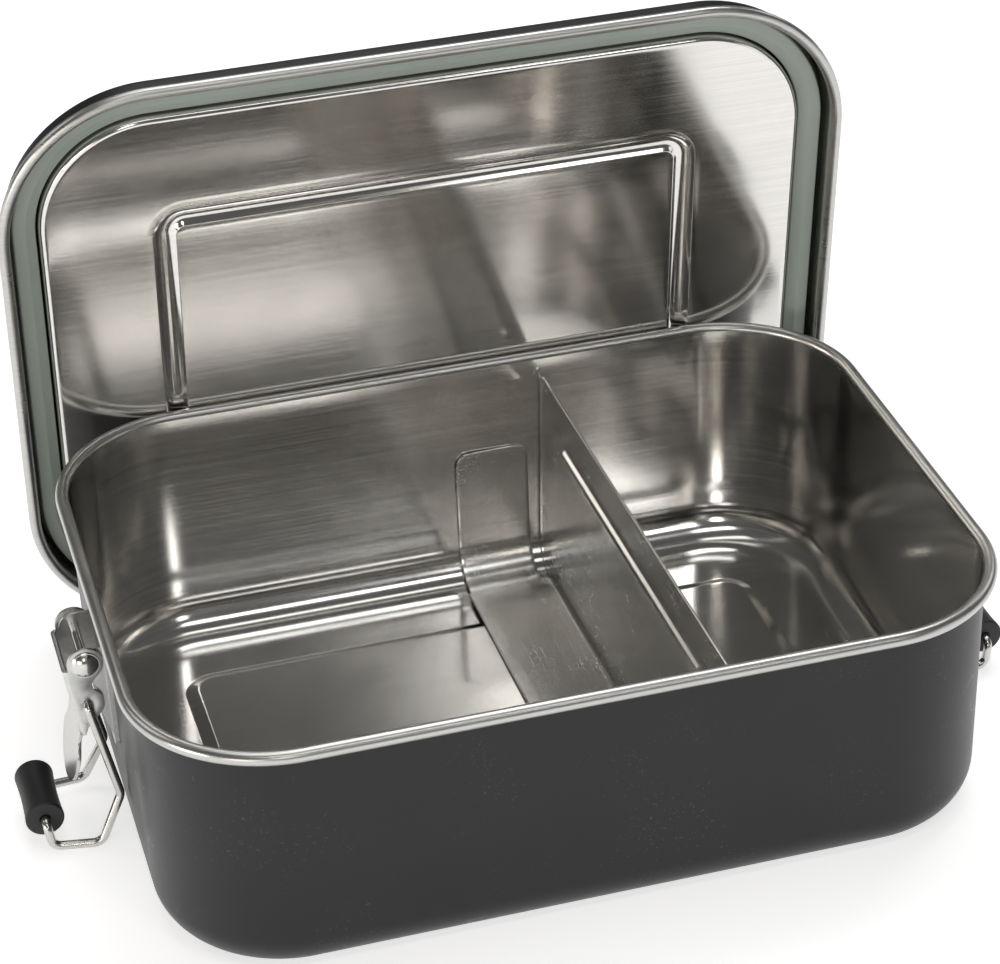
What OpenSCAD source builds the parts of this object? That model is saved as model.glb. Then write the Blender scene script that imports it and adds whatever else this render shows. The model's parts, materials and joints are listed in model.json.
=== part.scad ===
// Lunch box of pressed steel sheet: box, divider, lid with seal, and a lever latch on each end.
// Origin at the centre of the box's underside, X along the long side, the lid leaning at +Y.

/* [Box] */
// Length over the rim
box_l = 200; // [180:1:240]
// Width over the rim
box_w = 148; // [130:1:180]
// Height to the top of the rim
box_h = 62.5; // [56:0.5:80]
// Corner radius at the outside of the rim
corner_r = 34; // [26:1:40]
// Thickness of all the sheet in the box, the lid and the divider
sheet = 0.6; // [0.5:0.05:0.8]
// Diameter of the curled rim
rim_d = 3.2; // [2.8:0.1:4]
// How far each wall leans in from the rim to the bottom
draft = 0.7; // [0:0.1:1.5]
// Outside radius between wall and bottom
bottom_r = 10.5; // [8:0.5:14]
// Height of the raised floor panel
floor_rise = 1; // [0.5:0.1:1.5]

/* [Divider] */
// Place of the upright plate along the box
divider_x = 27; // [-20:0.1:30]
// Height of its top edge above the table
divider_top = 57.1; // [45:0.1:58]
// Angle at which the plate leans away from its foot
divider_lean = 1.5; // [0:0.1:2]
// Angle at which the divider stands turned in the box
divider_turn = 0.9; // [0:0.1:1]
// Width of the foot strip
foot_w = 23; // [20:0.5:30]
// Width of each spring tongue
tongue_w = 19; // [12:0.5:22]
// Height of each tongue's end above the table
tongue_top = 37.6; // [25:0.1:45]

/* [Lid] */
// How far the lid reaches past the rim on every side
lid_over = 3.9; // [3.4:0.1:5]
// Height of the lid
lid_h = 10; // [9:0.5:12]
// Diameter of the lid's curled edge
lid_curl_d = 2.8; // [2.4:0.1:3.2]
// Depth of the flat panel below the edge
panel_depth = 4.5; // [3:0.1:5]
// Angle at which the lid leans on the box
lean = 7; // [5:0.5:10]

/* [Latch] */
// Height of the lever's pivot
pivot_z = 49.3; // [44:0.1:52]
// How far the pivot stands out past the rim
pivot_out = 2.7; // [2:0.1:4]
// Width over the lever's two cheeks
lever_w = 18; // [14:0.5:22]
// Thickness of the lever's and bracket's sheet
latch_t = 0.8; // [0.7:0.1:1]
// Diameter of the bail's wire
wire_d = 2.1; // [1.8:0.1:2.4]
// Diameter of the roller
roller_d = 9; // [7:0.5:10]
// Length of the roller
roller_l = 17.8; // [14:0.1:18]

/* [Hidden] */
$fn = 96;
sides = [["left", 1], ["right", 0]];

// Clearances
turn_gap = 0.08;
slide_gap = 0.4;
bend_relief = 0.4;
flat_gap = 0.1;
lean_gap = 0.3;
roller_play = 0.5;

// How far solids of one sheet reach into each other
joint = 0.5;

// Box: corners turn about (cx, cy), and profiles are drawn outward from there
cx = box_l / 2 - corner_r;
cy = box_w / 2 - corner_r;
rim_z = box_h - rim_d / 2;
wall_top = corner_r - rim_d + sheet;
wall_a = atan(draft / (rim_z - bottom_r));
wall_foot = wall_top - draft;
bend_x = wall_foot - bottom_r;
panel_foot = 8;
panel_slope = 3;
floor_z = floor_rise + sheet;
function wall_out(z) = wall_top - (rim_z - z) * tan(wall_a);
function wall_in(z) = wall_out(z) - sheet;

// Divider
low_z = floor_z + flat_gap / 2;
bead_z = 44.8;
bead_r = 1.3;
bead_l = 102.6;
foot_bend = 2;
foot_x = divider_x + sheet / 2;
tongue_edge = 0.7;
tongue_x = foot_x - foot_w + tongue_edge + tongue_w / 2;
tongue_r = 10;
tongue_round = 4;
tongue_gap = 0.3;
tongue_face = cy + wall_in(low_z + tongue_r) - tongue_gap;
foot_half = tongue_face - tongue_r;

// Lid: the same corner centres as the box, heights counted up from its edge
lid_r = corner_r + lid_over;
lid_w = box_w + 2 * lid_over;
curl_r = lid_curl_d / 2;
skirt_in = lid_r - lid_curl_d;
skirt_out = skirt_in + sheet;
channel_w = 7.3;
channel_in = skirt_in - channel_w;
channel_z = lid_h - sheet;
press_r = 2.2;
panel_bend = 1.5;
rib_l = 134.6;
rib_w = 85.6;
rib_corner = 8;
rib_chord = 5.5;
rib_h = 1.2;
rib_r = (rib_chord * rib_chord / 4 + rib_h * rib_h) / (2 * rib_h);
lid_z = -curl_r * (cos(lean) + sin(lean) - 1);
rest_gap = panel_depth - rim_d / 2 - lean_gap;
lid_y = cy + corner_r - rim_d / 2 + ((rim_z - lid_z) * sin(lean) - rest_gap) / cos(lean);

// Seal
seal_in = channel_in + 0.5;
seal_w = 5.6;
seal_face = 5;
seal_slope = 1.2;
seal_round = 0.6;

// Latch, drawn for the right-hand end: u points out of the box along X
wall_u = cx + wall_out(0);
plate_t = 1;
plate_w = 18;
plate_z = 25.4;
pivot_u = box_l / 2 + pivot_out;
cheek_in = lever_w / 2 - latch_t;
ear_out = cheek_in - 0.2;
ear_in = ear_out - latch_t;
ear_r = 3.3;
plate_top = pivot_z + ear_r;
boss_r = 4.1;
pin_r = 1.1;
head_r = 3.3;
head_h = 1.3;
head_edge = 0.3;

// Edge of the bracket's ear below its round end, from the pivot
ear_edge = [[0.5, -ear_r], [-2, -7], [-2.6, -14]];

// Lever outline, from the pivot
bail_at = [0.6, -10.8];
lobe_r = 4;
web_top = [5.3, -1.3];
web_foot = [2.9, -19.2];
cheek_edge = [[1.1, -17.1], bail_at + [-2.6, -3], bail_at, [-0.4, -6.4], [-1.1, -5.6], [-1.6, -3.7]];
tab_tip = [6.4, -35.2];
neck_w = 14;
neck_at = 2.5;
tab_w = 18.6;
tab_flare = [7.9, 13.95];
tab_root = 0.2;

// Bail: one half of its centre line, from the pivot in u and z, and from the middle in y
wire_r = wire_d / 2;
bail_in = cheek_in - 0.8;
leg_bend = 1.3;
leg_y = lever_w / 2 + leg_bend;
knee_bend = 3;
foot_bend_r = 2.4;
bar_bend = 1.9;
bar_y = roller_l / 2 + roller_play + bar_bend;
bar_at = [13.3, 9 - pivot_z];
half_bail = [
    [bail_at[0], bail_in, bail_at[1]],
    [bail_at[0], leg_y, bail_at[1]],
    [-4.3, leg_y + 1.1, 14.2 - pivot_z],
    [1.4, bar_y + 1.6, 2.6 - pivot_z],
    [12.5, bar_y + 0.3, 3.1 - pivot_z],
    [bar_at[0], bar_y, bar_at[1]]
];
half_bends = [leg_bend, knee_bend, knee_bend, foot_bend_r, bar_bend];

// Two-dimensional helpers

// Band of a ring between two angles that are up to 90 degrees apart
module arc_band(r_out, r_in, a0, a1) {
    reach = 2 * r_out;
    intersection() {
        difference() {
            circle(r_out);
            circle(r_in);
        }
        polygon([[0, 0], reach * [cos(a0), sin(a0)], reach * [cos(a1), sin(a1)]]);
    }
}

// Curled edge, a ring left open over a short stretch
module curl(r, open_at) {
    open_a = 22;
    difference() {
        circle(r);
        circle(r - sheet);
        polygon([[0, 0], 2 * r * [cos(open_at - open_a), sin(open_at - open_a)],
            2 * r * [cos(open_at + open_a), sin(open_at + open_a)]]);
    }
}

// Rectangle with two round corners at its far end in y
module tongue_shape(w, h, r) {
    translate([-w / 2, 0]) square([w, h - r]);
    translate([-w / 2 + r, 0]) square([w - 2 * r, h]);
    for (side = [-1, 1]) translate([side * (w / 2 - r), h - r]) circle(r);
}

// Three-dimensional helpers

// Ring swept round a rectangle of corner centres, its profile drawn outward from them
module rounded_sweep(half_l, half_w) {
    for (turn = [0, 1]) rotate([0, 0, 180 * turn]) {
        translate([half_l, half_w, 0]) rotate_extrude(angle = 90) children();
        translate([-half_l, half_w, 0]) rotate([0, 0, 90]) rotate_extrude(angle = 90) children();
        translate([-half_l, half_w, 0]) rotate([90, 0, 90]) linear_extrude(2 * half_l) children();
        translate([half_l, half_w, 0]) rotate([90, 0, 0]) linear_extrude(2 * half_w) children();
    }
}

// Flat sheet that fills the space inside a sweep
module middle(z, t) {
    translate([-cx, -cy, z]) cube([2 * cx, 2 * cy, t]);
}

// Turns a solid whose length is along Z so that it runs from a towards b
module along(a, b) {
    d = b - a;
    translate(a) rotate([0, acos(d[2] / norm(d)), atan2(d[1], d[0])]) children();
}

// Bent wire through a list of points, with a bend radius at each inner point. Each straight run
// ends a little inside the bends, which are a hair thicker, so that they join as one solid
module bent_wire(points, bends, r) {
    overlap = 0.05;
    swell = 0.01;
    last = len(points) - 1;
    turn = [for (i = [1 : last - 1]) turn_angle(points[i - 1], points[i], points[i + 1])];
    cut = [0, for (i = [1 : last - 1]) bends[i - 1] * tan(turn[i - 1] / 2) - overlap, 0];
    for (i = [0 : last - 1]) {
        run = norm(points[i + 1] - points[i]);
        along(points[i], points[i + 1])
            translate([0, 0, cut[i]]) cylinder(h = run - cut[i] - cut[i + 1], r = r, $fn = 40);
    }
    for (i = [1 : last - 1])
        wire_bend(points[i - 1], points[i], points[i + 1], bends[i - 1], r + swell);
}

// Angle through which a path turns at its middle point
function turn_angle(a, b, c) = acos((b - a) * (c - b) / (norm(b - a) * norm(c - b)));
function unit(v) = v / norm(v);

// Torus section that joins two straight runs
module wire_bend(a, b, c, bend, r) {
    turn = turn_angle(a, b, c);
    from = unit(b - a);
    up = unit(cross(from, c - b));
    out = cross(from, up);
    start = b - from * bend * tan(turn / 2);
    centre = start - out * bend;
    multmatrix([
        [out[0], from[0], up[0], centre[0]],
        [out[1], from[1], up[1], centre[1]],
        [out[2], from[2], up[2], centre[2]],
        [0, 0, 0, 1]])
        rotate_extrude(angle = turn, $fn = 64) translate([bend, 0]) circle(r, $fn = 40);
}

// Box

module box_profile() {
    // Rim
    translate([corner_r - rim_d / 2, rim_z]) curl(rim_d / 2, -125);
    // Wall
    polygon([[wall_in(rim_z), rim_z], [wall_out(rim_z), rim_z],
        [wall_out(bottom_r), bottom_r], [wall_in(bottom_r), bottom_r]]);
    // Bend and bottom
    translate([bend_x, bottom_r]) arc_band(bottom_r, bottom_r - sheet, -90, 0);
    translate([panel_foot, 0]) square([bend_x - panel_foot, sheet]);
    // Slope up to the raised panel
    polygon([[panel_foot, 0], [panel_foot, sheet],
        [panel_foot - panel_slope, floor_z], [panel_foot - panel_slope, floor_rise]]);
    translate([0, floor_rise]) square([panel_foot - panel_slope, sheet]);
}

module box_body() {
    color("dimgray") {
        rounded_sweep(cx, cy) box_profile();
        middle(floor_rise, sheet);
    }
}

// Divider

// Section of the box's inside, smaller by a gap, up to a height
module plate_outline(gap, top) {
    r = bottom_r - sheet - gap;
    for (side = [0, 1]) mirror([side, 0]) intersection() {
        union() {
            translate([cy + bend_x, bottom_r]) circle(r);
            square([cy + bend_x, bottom_r]);
            polygon([[0, bottom_r], [cy + wall_in(bottom_r) - gap, bottom_r],
                [cy + wall_in(top) - gap, top], [0, top]]);
        }
        translate([0, low_z]) square([box_w, top - low_z]);
    }
}

// Long stiffening bead of the plate, open on its back
module plate_bead(r) {
    for (side = [-1, 1]) translate([0, side * (bead_l / 2 - r), 0]) sphere(r);
    translate([0, bead_l / 2 - r, 0]) rotate([90, 0, 0]) cylinder(h = bead_l - 2 * r, r = r);
}

module divider_plate() {
    difference() {
        union() {
            translate([divider_x - sheet / 2, 0, 0]) rotate([90, 0, 90])
                linear_extrude(sheet) plate_outline(slide_gap, divider_top);
            intersection() {
                translate([divider_x, 0, bead_z]) plate_bead(bead_r);
                translate([divider_x + sheet / 2 - 5, -cy - corner_r, 0]) cube([5, box_w, box_h]);
            }
        }
        translate([divider_x, 0, bead_z]) plate_bead(bead_r - sheet);
        // Room for the bend into the foot
        translate([divider_x - sheet, -foot_half - bend_relief, 0])
            cube([2 * sheet, 2 * (foot_half + bend_relief), low_z + foot_bend]);
    }
}

// Foot strip and the bend that joins it to the plate
module divider_foot() {
    translate([0, foot_half, 0]) rotate([90, 0, 0]) linear_extrude(2 * foot_half) {
        translate([foot_x - foot_bend, low_z + foot_bend]) {
            arc_band(foot_bend, foot_bend - sheet, -90, -divider_lean);
            rotate(-divider_lean) translate([foot_bend - sheet, 0]) square([sheet, joint]);
        }
        translate([foot_x - foot_w, low_z]) square([foot_w - foot_bend, sheet]);
    }
}

// Tongue that bends up from the foot and presses on the wall
module divider_tongue() {
    intersection() {
        translate([tongue_x - tongue_w / 2, 0, 0]) rotate([90, 0, 90]) linear_extrude(tongue_w) {
            translate([foot_half - joint, low_z]) square([joint, sheet]);
            translate([foot_half, low_z + tongue_r]) arc_band(tongue_r, tongue_r - sheet, -90, 0);
            polygon([[tongue_face, low_z + tongue_r], [tongue_face - sheet, low_z + tongue_r],
                [tongue_lean(tongue_top) - sheet, tongue_top], [tongue_lean(tongue_top), tongue_top]]);
        }
        translate([tongue_x, box_w, 0]) rotate([90, 0, 0])
            linear_extrude(box_w) tongue_shape(tongue_w, tongue_top, tongue_round);
    }
}
function tongue_lean(z) = cy + wall_in(z) - tongue_gap;

module divider() {
    color("silver") translate([tongue_x, 0, 0]) rotate(divider_turn) translate([-tongue_x, 0, 0]) {
        translate([foot_x - foot_bend, 0, low_z + foot_bend]) rotate([0, divider_lean, 0])
            translate([foot_bend - foot_x, 0, -low_z - foot_bend]) divider_plate();
        divider_foot();
        for (side = [0, 1]) mirror([0, side, 0]) divider_tongue();
    }
}

// Lid, drawn lying closed with its edge at z = 0, then leaned on the box

module lean_lid() {
    translate([0, lid_y, lid_z]) rotate([lean - 90, 0, 0]) translate([0, -lid_w / 2, 0]) children();
}

module lid_profile() {
    top = lid_h - press_r;
    inner_r = press_r - sheet;
    // Curled edge and skirt
    translate([lid_r - curl_r, curl_r]) curl(curl_r, 125);
    translate([skirt_in, curl_r]) square([sheet, top - curl_r]);
    translate([skirt_out - press_r, top]) arc_band(press_r, inner_r, 0, 90);
    // Top of the seal channel
    translate([channel_in - sheet + press_r, channel_z])
        square([skirt_out + sheet - 2 * press_r - channel_in, sheet]);
    // Inner wall of the channel
    translate([channel_in - sheet + press_r, top]) arc_band(press_r, inner_r, 90, 180);
    translate([channel_in - sheet, panel_depth + panel_bend])
        square([sheet, top - panel_depth - panel_bend]);
    translate([channel_in - panel_bend, panel_depth + panel_bend])
        arc_band(panel_bend, panel_bend - sheet, -90, 0);
    translate([0, panel_depth]) square([channel_in - panel_bend, sheet]);
}

// Half-round rib round the middle of the panel, as a disc of its section
module rib_section(r) {
    translate([rib_corner - rib_chord / 2, panel_depth + rib_h - rib_r]) circle(r);
}

module rib_sweep() {
    rounded_sweep(rib_l / 2 - rib_corner, rib_w / 2 - rib_corner) children();
}

module lid_shell() {
    color("dimgray") lean_lid() difference() {
        union() {
            rounded_sweep(cx, cy) lid_profile();
            middle(panel_depth, sheet);
            rib_sweep() intersection() {
                rib_section(rib_r + sheet);
                translate([0, panel_depth + sheet / 2]) square([2 * rib_corner, lid_h]);
            }
        }
        rib_sweep() intersection() {
            rib_section(rib_r);
            translate([0, panel_depth - sheet]) square([2 * rib_corner, lid_h]);
        }
    }
}

module seal_profile() {
    out = seal_in + seal_w;
    back = channel_z;
    cut = 1.2;
    flat = seal_in + seal_w * 0.45;
    polygon([
        [seal_in, seal_face + seal_slope], [flat, seal_face],
        [out - seal_round, seal_face], [out - seal_round, seal_face + seal_round],
        [out, seal_face + seal_round], [out, back - cut], [out - cut, back],
        [seal_in + cut, back], [seal_in, back - cut]]);
    translate([out - seal_round, seal_face + seal_round]) circle(seal_round);
}

module lid_seal() {
    color("gray") lean_lid() rounded_sweep(cx, cy) seal_profile();
}

// Latch, all of it in one frame whose origin is the pivot

module at_pivot(mirrored) {
    mirror([mirrored, 0, 0]) translate([pivot_u, 0, pivot_z]) children();
}

// Solid made from an outline in [u, z], between two places in y
module across(y0, y1) {
    translate([0, y1, 0]) rotate([90, 0, 0]) linear_extrude(y1 - y0) children();
}

// The same on both sides of the middle
module both_sides() {
    for (side = [0, 1]) mirror([0, side, 0]) children();
}

module bracket(mirrored) {
    foot_u = wall_u - pivot_u;
    back_u = pivot_u - cx - wall_out(plate_top) - plate_t / 2;
    color("silver") at_pivot(mirrored) difference() {
        union() {
            translate([foot_u, 0, -pivot_z]) rotate([0, wall_a, 0]) translate([0, 0, plate_top])
                rotate([90, 180, 90]) linear_extrude(plate_t) tongue_shape(plate_w, plate_top - plate_z, 2);
            both_sides() across(ear_in, ear_out) {
                circle(ear_r);
                polygon(concat([[-back_u, ear_r], [0, ear_r], [ear_r, 0]], ear_edge,
                    [for (u = [plate_t, plate_t / 2]) [foot_u + u, plate_z + 1 - pivot_z]]));
            }
        }
        across(-lever_w, lever_w) circle(pin_r);
    }
}

module pivot_pin(mirrored) {
    dome_r = (head_r * head_r + head_h * head_h) / (2 * head_h);
    head_y = lever_w / 2 + flat_gap;
    color("silver") at_pivot(mirrored) {
        across(-head_y, head_y) circle(pin_r);
        both_sides() translate([0, head_y, 0]) rotate([-90, 0, 0]) rotate_extrude() {
            square([head_r, head_edge]);
            intersection() {
                translate([0, head_edge + head_h - dome_r]) circle(dome_r);
                translate([0, head_edge]) square([head_r, head_h]);
            }
        }
    }
}

// Outline of one cheek of the lever
module cheek_outline() {
    circle(boss_r);
    translate(bail_at) circle(lobe_r);
    polygon(concat([web_top, web_foot], cheek_edge, [[0, 0], [2, 1]]));
}

// Finger tab in its own plane: narrow at the neck, wider towards its round end
module tab_outline(len) {
    round_r = tab_w / 2;
    translate([0, len - round_r]) circle(round_r);
    for (side = [0, 1]) mirror([side, 0]) polygon([[0, -tab_root], [lever_w / 2, -tab_root],
        [lever_w / 2, 0], [neck_w / 2, neck_at], [tab_flare[0], len - tab_flare[1]], [0, len - round_r]]);
}

module lever(mirrored) {
    web = web_foot - web_top;
    tab = tab_tip - web_foot;
    color("gainsboro") at_pivot(mirrored) {
        both_sides() difference() {
            across(cheek_in, lever_w / 2) cheek_outline();
            across(0, lever_w) circle(pin_r + turn_gap);
            across(0, lever_w) translate(bail_at) circle(wire_r + turn_gap);
        }
        translate([web_top[0], 0, web_top[1]]) rotate([0, atan2(web[0], web[1]) + 180, 0])
            translate([-latch_t, -lever_w / 2, -norm(web)]) cube([latch_t, lever_w, norm(web)]);
        translate([web_foot[0], 0, web_foot[1]]) rotate([0, atan2(tab[0], tab[1]) + 180, 0])
            translate([-latch_t, 0, 0]) rotate([-90, 0, -90]) linear_extrude(latch_t) tab_outline(norm(tab));
    }
}

module bail(mirrored) {
    back = [for (i = [len(half_bail) - 1 : -1 : 0]) [half_bail[i][0], -half_bail[i][1], half_bail[i][2]]];
    bends = concat(half_bends, [for (i = [len(half_bends) - 1 : -1 : 0]) half_bends[i]]);
    color("silver") at_pivot(mirrored) bent_wire(concat(half_bail, back), bends, wire_r);
}

module roller(mirrored) {
    edge = 0.5;
    r = roller_d / 2;
    bore = wire_r + turn_gap;
    color("black") at_pivot(mirrored) translate([bar_at[0], roller_l / 2, bar_at[1]]) rotate([90, 0, 0])
        rotate_extrude() {
            translate([bore, 0]) square([r - edge - bore, roller_l]);
            translate([r - edge, edge]) square([edge, roller_l - 2 * edge]);
            for (z = [edge, roller_l - edge]) translate([r - edge, z]) circle(edge, $fn = 32);
        }
}

box_body();
divider();
lid_shell();
lid_seal();
for (side = sides) {
    bracket(side[1]);
    pivot_pin(side[1]);
    lever(side[1]);
    bail(side[1]);
    roller(side[1]);
}
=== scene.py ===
import json
import math

import bmesh
import bpy
from mathutils import Matrix, Vector

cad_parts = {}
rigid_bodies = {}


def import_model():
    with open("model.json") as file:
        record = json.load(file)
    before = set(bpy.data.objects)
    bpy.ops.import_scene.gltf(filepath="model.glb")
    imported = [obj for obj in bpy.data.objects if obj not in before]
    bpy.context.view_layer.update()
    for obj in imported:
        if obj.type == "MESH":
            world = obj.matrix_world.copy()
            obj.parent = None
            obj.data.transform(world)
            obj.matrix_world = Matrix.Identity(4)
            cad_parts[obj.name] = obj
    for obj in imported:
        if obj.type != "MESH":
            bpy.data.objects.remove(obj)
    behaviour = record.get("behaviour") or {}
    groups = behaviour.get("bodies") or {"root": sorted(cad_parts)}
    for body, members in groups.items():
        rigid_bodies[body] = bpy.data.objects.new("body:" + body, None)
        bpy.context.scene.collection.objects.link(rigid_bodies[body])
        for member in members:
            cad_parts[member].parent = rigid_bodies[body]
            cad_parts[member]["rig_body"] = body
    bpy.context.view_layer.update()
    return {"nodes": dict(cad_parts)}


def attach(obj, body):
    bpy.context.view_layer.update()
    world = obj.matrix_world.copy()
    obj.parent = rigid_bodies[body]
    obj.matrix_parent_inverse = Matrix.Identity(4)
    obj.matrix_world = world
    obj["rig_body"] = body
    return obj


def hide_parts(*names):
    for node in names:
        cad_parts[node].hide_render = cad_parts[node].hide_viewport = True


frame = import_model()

mm = 0.001
touch = 1e-6  # metres; points closer than this are one point


def addNode(tree, kind, values=None, **settings):
    # settings are the node's options; values are sockets to link or numbers to set
    made = tree.nodes.new(kind)
    for name, value in settings.items():
        setattr(made, name, value)
    for key, value in (values or {}).items():
        if isinstance(value, bpy.types.NodeSocket):
            tree.links.new(value, made.inputs[key])
        else:
            made.inputs[key].default_value = value
    return made


def addSockets(tree, inputs, outputs):
    # inputs: (name, kind, default), outputs: (name, kind)
    for name, kind, default in inputs:
        socket = tree.interface.new_socket(name, in_out="INPUT", socket_type=kind)
        if default is not None:
            socket.default_value = default
    for name, kind in outputs:
        tree.interface.new_socket(name, in_out="OUTPUT", socket_type=kind)
    return tree.nodes.new("NodeGroupInput").outputs, tree.nodes.new("NodeGroupOutput").inputs


def mathNode(tree, operation, a, b=0.0):
    return addNode(tree, "ShaderNodeMath", {0: a, 1: b}, operation=operation).outputs[0]


def arcPoints(centre, radius, start, end, steps):
    angles = [math.radians(start + (end - start) * i / steps) for i in range(steps + 1)]
    return [(centre[0] + radius * math.cos(a), centre[1] + radius * math.sin(a)) for a in angles]


def ringPoints(centre, radius, steps):
    # full circle, without repeating its first point
    return arcPoints(centre, radius, 0, 360 * (steps - 1) / steps, steps - 1)


def roundCorner(before, corner, after, radius, steps=6):
    # points of a fillet at a corner of a polyline
    b, c, a = Vector(before), Vector(corner), Vector(after)
    inward, outward = (b - c).normalized(), (a - c).normalized()
    half = inward.angle(outward) / 2
    reach = radius / math.tan(half)
    centre = c + (inward + outward).normalized() * radius / math.sin(half)
    first, last = c + inward * reach - centre, c + outward * reach - centre
    whole = first.angle(last)
    made = []
    for i in range(steps + 1):
        t = i / steps
        p = (first * math.sin((1 - t) * whole) + last * math.sin(t * whole)) / math.sin(whole)
        made.append(tuple(centre + p))
    return made


def stretchPoints(a, b, steps):
    # evenly spaced points strictly between two ends
    return [tuple(Vector(a).lerp(Vector(b), i / (steps + 1))) for i in range(1, steps + 1)]


def spread(start, end, step):
    # evenly spaced numbers from start to end, about one step apart
    count = max(1, round(abs(end - start) / step))
    return [start + (end - start) * i / count for i in range(count + 1)]


def newPiece(name, mesh):
    piece = bpy.data.objects.new(name, mesh)
    bpy.context.scene.collection.objects.link(piece)
    return piece


def placePiece(piece, node):
    # the piece stands for a CAD node and moves with the same body
    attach(piece, frame["nodes"][node]["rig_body"])
    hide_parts(node)


view = {"place": (-159.71, -593.79, 452.51), "turn": 14.785, "down": 31.767, "roll": -2.108,
        "focal": 3157.57, "width": 1000, "sensor": 36, "near": 0.05, "far": 50}


def makeCamera():
    turn, down, roll = (math.radians(view[k]) for k in ("turn", "down", "roll"))
    ahead = Vector((math.sin(turn) * math.cos(down), math.cos(turn) * math.cos(down), -math.sin(down)))
    right = Vector((math.cos(turn), -math.sin(turn), 0))
    up = right.cross(ahead)
    right, up = (right * math.cos(roll) + up * math.sin(roll),
                 up * math.cos(roll) - right * math.sin(roll))
    data = bpy.data.cameras.new("camera")
    data.sensor_width = view["sensor"]
    data.lens = view["focal"] / view["width"] * data.sensor_width
    data.clip_start, data.clip_end = view["near"], view["far"]
    camera = bpy.data.objects.new("camera", data)
    bpy.context.scene.collection.objects.link(camera)
    camera.matrix_world = Matrix.Translation(Vector(view["place"]) * mm) @ Matrix(
        (right, up, -ahead)).transposed().to_4x4()
    bpy.context.scene.camera = camera


# sizes and distances of the stage are in metres
stage = {"floorSize": 12.0, "floorColor": (0.86, 0.86, 0.86), "floorRoughness": 0.7,
         "floorGloss": 0.2, "floorGlow": 0.62, "lightDistance": 1.6, "aim": (0, 0, 0.06),
         "worldColor": (1.0, 0.99, 0.965), "worldStrength": 0.11}


def makeFloor():
    half = stage["floorSize"] / 2
    mesh = bpy.data.meshes.new("floor")
    corners = [(-half, -half, 0), (half, -half, 0), (half, half, 0), (-half, half, 0)]
    mesh.from_pydata(corners, [], [(0, 1, 2, 3)])
    floor = newPiece("floor", mesh)
    material = bpy.data.materials.new("floorPaper")
    material.use_nodes = True
    shader = material.node_tree.nodes["Principled BSDF"]
    shader.inputs["Base Color"].default_value = (*stage["floorColor"], 1)
    shader.inputs["Roughness"].default_value = stage["floorRoughness"]
    shader.inputs["Specular IOR Level"].default_value = stage["floorGloss"]
    shader.inputs["Emission Color"].default_value = (1, 1, 1, 1)
    shader.inputs["Emission Strength"].default_value = stage["floorGlow"]
    mesh.materials.append(material)


# place of a light: degrees round from the front towards the right end, and degrees up
lights = {
    "overhead": {"round": 180, "up": 82, "size": (0.8, 0.8), "power": 4, "color": (1, 0.99, 0.97)},
    "highBack": {"round": 140, "up": 62, "size": (0.8, 0.4),
                 "power": 5.2, "color": (1, 0.99, 0.98)},
    "back": {"round": 175, "up": 46, "size": (0.6, 0.3), "power": 1.5, "color": (1, 0.99, 0.98)},
    "backLeft": {"round": 240, "up": 37, "size": (0.6, 0.6),
                 "power": 1.9, "color": (1, 0.96, 0.91)},
    "backRight": {"round": 120, "up": 30, "size": (0.6, 0.4),
                  "power": 1.3, "color": (0.97, 0.98, 1)},
    "lowLeft": {"round": 290, "up": 9, "size": (0.6, 0.4), "power": 6, "color": (1, 0.95, 0.88)},
    "frontLeft": {"round": 325, "up": 9, "size": (0.6, 0.4), "power": 2.8, "color": (1, 0.96, 0.9)},
    "lowRight": {"round": 55, "up": 9, "size": (0.6, 0.4), "power": 0.8, "color": (1, 1, 1)},
    "frontHigh": {"round": 0, "up": 57, "size": (0.9, 0.2), "power": 2.4, "color": (1, 1, 1)},
    "frontMid": {"round": 20, "up": 34, "size": (0.16, 0.3),
                 "power": 0.8, "color": (1, 0.99, 0.97)},
    "frontLow": {"round": 352, "up": 27, "size": (0.2, 0.3), "power": 1.6, "color": (1, 0.96, 0.9)},
}


def makeLights():
    for name, s in lights.items():
        data = bpy.data.lights.new(name, "AREA")
        data.shape = "RECTANGLE"
        data.size, data.size_y = s["size"]
        data.energy = s["power"]
        data.color = s["color"]
        lamp = bpy.data.objects.new(name, data)
        bpy.context.scene.collection.objects.link(lamp)
        around, up = math.radians(s["round"]), math.radians(s["up"])
        away = Vector((math.sin(around) * math.cos(up), -math.cos(around) * math.cos(up),
                       math.sin(up)))
        lamp.location = Vector(stage["aim"]) + away * stage["lightDistance"]
        lamp.rotation_euler = (-away).to_track_quat("-Z", "Y").to_euler()
    world = bpy.data.worlds.new("studio")
    world.use_nodes = True
    background = world.node_tree.nodes["Background"]
    background.inputs["Color"].default_value = (*stage["worldColor"], 1)
    background.inputs["Strength"].default_value = stage["worldStrength"]
    bpy.context.scene.world = world


makeCamera()
makeFloor()
makeLights()
bpy.context.scene.view_settings.view_transform = "Standard"
print("camera, floor and lights ready")


def noise(tree, vector, scale, detail=2.0, roughness=0.5):
    return addNode(tree, "ShaderNodeTexNoise", {
        "Vector": vector, "Scale": scale, "Detail": detail, "Roughness": roughness}).outputs[0]


def remap(tree, value, low, high):
    # soft step from 0 to 1 between two values
    return addNode(tree, "ShaderNodeMapRange", {0: value, 1: low, 2: high, 3: 0.0, 4: 1.0},
                   interpolation_type="SMOOTHSTEP").outputs[0]


def stretch(tree, vector, factors):
    made = addNode(tree, "ShaderNodeVectorMath", {0: vector, 1: factors}, operation="MULTIPLY")
    return made.outputs[0]


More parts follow.
